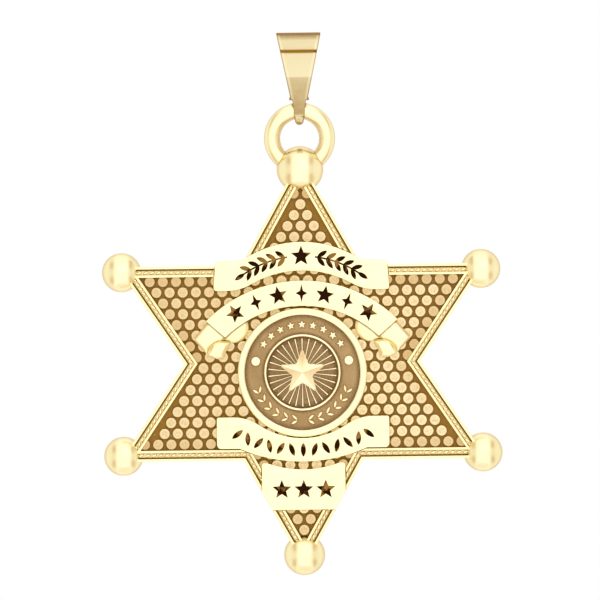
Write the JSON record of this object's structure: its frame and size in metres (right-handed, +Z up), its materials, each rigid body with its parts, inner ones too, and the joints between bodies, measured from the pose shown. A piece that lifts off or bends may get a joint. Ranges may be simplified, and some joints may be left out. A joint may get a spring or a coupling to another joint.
{
  "type": "six-point star badge pendant",
  "caption": "Gold six-point star badge with ball tips, beaded rim, dotted field, arched banners and a round seal, hung by a ring from a folded bail.",
  "frame": {"origin": "where a chain rests inside the top of the bail, midway across its width", "axes": "+Z up from the star to the bail, the face looks along -Y and the flat back along +Y, +X to the viewer's right"},
  "size_m": [0.0254, 0.0025, 0.0347],
  "materials": {
    "polished_gold": "mirror-polished yellow gold",
    "struck_gold": "bright yellow gold, darkened in its recesses",
    "banner_gold": "flat-polished pale gold with dark-filled engraving",
    "antiqued_gold": "antiqued ground under bright raised relief"
  },
  "bodies": {
    "bail": {"bail": "polished_gold"},
    "star": {"star_plate": "struck_gold", "upper_banner": "banner_gold", "middle_banner": "banner_gold", "lower_banner": "banner_gold", "number_plate": "banner_gold", "seal": "antiqued_gold"}
  },
  "joints": [
    {"name": "star_swing", "type": "hinge", "parent": "bail", "child": "star", "pos_m": [0, 0, -0.00463], "axis": [1, 0, 0], "range_deg": [-135, 135]}
  ]
}
